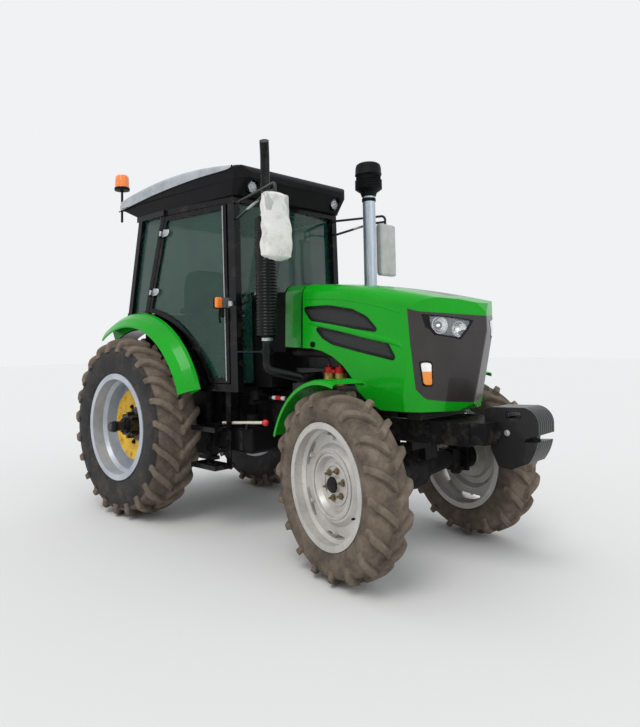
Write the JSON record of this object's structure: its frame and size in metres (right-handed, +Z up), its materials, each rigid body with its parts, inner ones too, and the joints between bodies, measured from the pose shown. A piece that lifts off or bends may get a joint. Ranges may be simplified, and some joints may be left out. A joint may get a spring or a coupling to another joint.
{
  "type": "farm tractor",
  "caption": "Farm tractor with a closed cab, a long green hood with dark mesh vents, large driven rear wheels, smaller steered front wheels, front weights and a rear three-point hitch.",
  "frame": {"origin": "on the ground under the middle of the whole tractor", "axes": "+X forward, +Y to the driver's left, +Z up"},
  "size_m": [3.7792, 1.74, 2.648],
  "materials": {
    "tyre_rubber": "matte",
    "wheel_silver": "satin",
    "wheel_yellow": "satin",
    "green_paint": "gloss",
    "mask_plastic": "satin",
    "mesh_black": "matte",
    "black_paint": "satin",
    "tinted_glass": "gloss",
    "roof_silver": "satin",
    "black_plastic": "matte",
    "lamp_lens": "gloss",
    "amber_lens": "gloss",
    "seat_cover": "matte",
    "mirror_cover": "matte",
    "casting_black": "matte",
    "engine_metal": "satin",
    "linkage_steel": "satin",
    "pipe_steel": "satin"
  },
  "bodies": {
    "chassis": {"battery_box": "black_plastic", "beacon": "amber_lens", "cab_floor": "black_paint", "cab_frame": "black_paint", "cab_glass": "tinted_glass", "console": "black_plastic", "cowl_panel": "green_paint", "engine_ancillaries": "engine_metal", "engine_block": "casting_black", "exhaust_pipe": "black_paint", "front_axle_beam": "casting_black", "front_frame": "casting_black", "front_weights": "casting_black", "fuel_tank": "black_plastic", "gearbox_housing": "casting_black", "intake_pipe": "pipe_steel", "mirrors": "mirror_cover", "muffler": "black_paint", "pre_cleaner": "black_plastic", "radiator": "engine_metal", "rear_axle_housing": "casting_black", "rear_fenders": "green_paint", "roof_cover": "roof_silver", "roof_lamps": "lamp_lens", "roof_liner": "black_plastic", "seat": "seat_cover", "side_lamps": "amber_lens", "steps": "black_paint", "top_link": "linkage_steel", "weight_carrier": "casting_black"},
    "wheel_rear_left": {"rear_tyre_left": "tyre_rubber", "rear_rim_left": "wheel_silver", "rear_disc_left": "wheel_yellow"},
    "wheel_rear_right": {"rear_tyre_right": "tyre_rubber", "rear_rim_right": "wheel_silver", "rear_disc_right": "wheel_yellow"},
    "knuckle_left": {"knuckle_left": "casting_black", "front_fender_left": "green_paint"},
    "knuckle_right": {"knuckle_right": "casting_black", "front_fender_right": "green_paint"},
    "wheel_front_left": {"front_tyre_left": "tyre_rubber", "front_rim_left": "wheel_silver"},
    "wheel_front_right": {"front_tyre_right": "tyre_rubber", "front_rim_right": "wheel_silver"},
    "tie_rod": {"tie_rod": "linkage_steel"},
    "hood": {"hood_shell": "green_paint", "nose_mask": "mask_plastic", "hood_meshes": "mesh_black", "front_lamps": "lamp_lens"},
    "door_left": {"door_frame_left": "black_paint", "door_glass_left": "tinted_glass"},
    "door_right": {"door_frame_right": "black_paint", "door_glass_right": "tinted_glass"},
    "steering_wheel": {"steering_wheel": "black_plastic"},
    "pto_shaft": {"pto_shaft": "linkage_steel"},
    "lift_arms": {"lift_arms": "linkage_steel"},
    "lift_rod_left": {"lift_rod_left": "linkage_steel"},
    "lift_rod_right": {"lift_rod_right": "linkage_steel"},
    "lower_link_left": {"lower_link_left": "linkage_steel"},
    "lower_link_right": {"lower_link_right": "linkage_steel"}
  },
  "joints": [
    {"name": "rear_wheel_left", "type": "hinge", "parent": "chassis", "child": "wheel_rear_left", "pos_m": [-0.97059, 0.663, 0.65199], "axis": [0, 1, 0], "continuous": true},
    {"name": "rear_wheel_right", "type": "hinge", "parent": "chassis", "child": "wheel_rear_right", "pos_m": [-0.97059, -0.663, 0.65199], "axis": [0, 1, 0], "continuous": true},
    {"name": "steer_right", "type": "hinge", "parent": "chassis", "child": "knuckle_right", "pos_m": [1.05741, -0.5, 0.49699], "axis": [0, 0, 1], "range_deg": [-16.4, 43.6]},
    {"name": "steer_left", "type": "hinge", "parent": "chassis", "child": "knuckle_left", "pos_m": [1.05741, 0.5, 0.49699], "axis": [0, 0, 1], "range_deg": [-16.4, 43.6]},
    {"name": "tie_rod_pivot", "type": "hinge", "parent": "knuckle_right", "child": "tie_rod", "pos_m": [0.86302, -0.45297, 0.42199], "axis": [0, 0, 1], "range_deg": [-43.6, 16.4]},
    {"name": "front_wheel_left", "type": "hinge", "parent": "knuckle_left", "child": "wheel_front_left", "pos_m": [1.08516, 0.61469, 0.49699], "axis": [0.2351, 0.972, 0], "continuous": true},
    {"name": "front_wheel_right", "type": "hinge", "parent": "knuckle_right", "child": "wheel_front_right", "pos_m": [1.02966, -0.61469, 0.49699], "axis": [0.2351, 0.972, 0], "continuous": true},
    {"name": "steering_wheel_turn", "type": "hinge", "parent": "chassis", "child": "steering_wheel", "pos_m": [-0.30259, 0, 1.58499], "axis": [-0.5299, 0, 0.848], "range_deg": [-246, 654]},
    {"name": "door_left_hinge", "type": "hinge", "parent": "chassis", "child": "door_left", "pos_m": [-0.79768, 0.62747, 1.63999], "axis": [0.261, -0.0309, 0.9648], "range_deg": [0, 75]},
    {"name": "door_right_hinge", "type": "hinge", "parent": "chassis", "child": "door_right", "pos_m": [-0.79768, -0.62747, 1.63999], "axis": [-0.261, -0.0309, -0.9648], "range_deg": [0, 75]},
    {"name": "hood_hinge", "type": "hinge", "parent": "chassis", "child": "hood", "pos_m": [0.54741, 0, 1.58999], "axis": [0, -1, 0], "range_deg": [0, 50]},
    {"name": "pto_turn", "type": "hinge", "parent": "chassis", "child": "pto_shaft", "pos_m": [-1.31559, 0, 0.55999], "axis": [1, 0, 0], "continuous": true},
    {"name": "lift_arm_turn", "type": "hinge", "parent": "chassis", "child": "lift_arms", "pos_m": [-1.22059, 0, 0.84999], "axis": [0, 1, 0], "range_deg": [-10, 35]},
    {"name": "lower_link_left_swing", "type": "hinge", "parent": "chassis", "child": "lower_link_left", "pos_m": [-1.11059, 0.24, 0.41999], "axis": [0, 1, 0], "range_deg": [-10, 35]},
    {"name": "lower_link_right_swing", "type": "hinge", "parent": "chassis", "child": "lower_link_right", "pos_m": [-1.11059, -0.24, 0.41999], "axis": [0, 1, 0], "range_deg": [-10, 35]},
    {"name": "lift_rod_left_pivot", "type": "hinge", "parent": "lift_arms", "child": "lift_rod_left", "pos_m": [-1.55014, 0.262, 0.86726], "axis": [0, 1, 0], "range_deg": [-35, 10]},
    {"name": "lift_rod_right_pivot", "type": "hinge", "parent": "lift_arms", "child": "lift_rod_right", "pos_m": [-1.55014, -0.262, 0.86726], "axis": [0, 1, 0], "range_deg": [-35, 10]}
  ],
  "couplings": [
    {"joint": "steer_left", "follows": "steer_right", "ratio": 1},
    {"joint": "tie_rod_pivot", "follows": "steer_right", "ratio": -1},
    {"joint": "steering_wheel_turn", "follows": "steer_right", "ratio": 15},
    {"joint": "lower_link_left_swing", "follows": "lift_arm_turn", "ratio": 1},
    {"joint": "lower_link_right_swing", "follows": "lift_arm_turn", "ratio": 1},
    {"joint": "lift_rod_left_pivot", "follows": "lift_arm_turn", "ratio": -1},
    {"joint": "lift_rod_right_pivot", "follows": "lift_arm_turn", "ratio": -1}
  ]
}
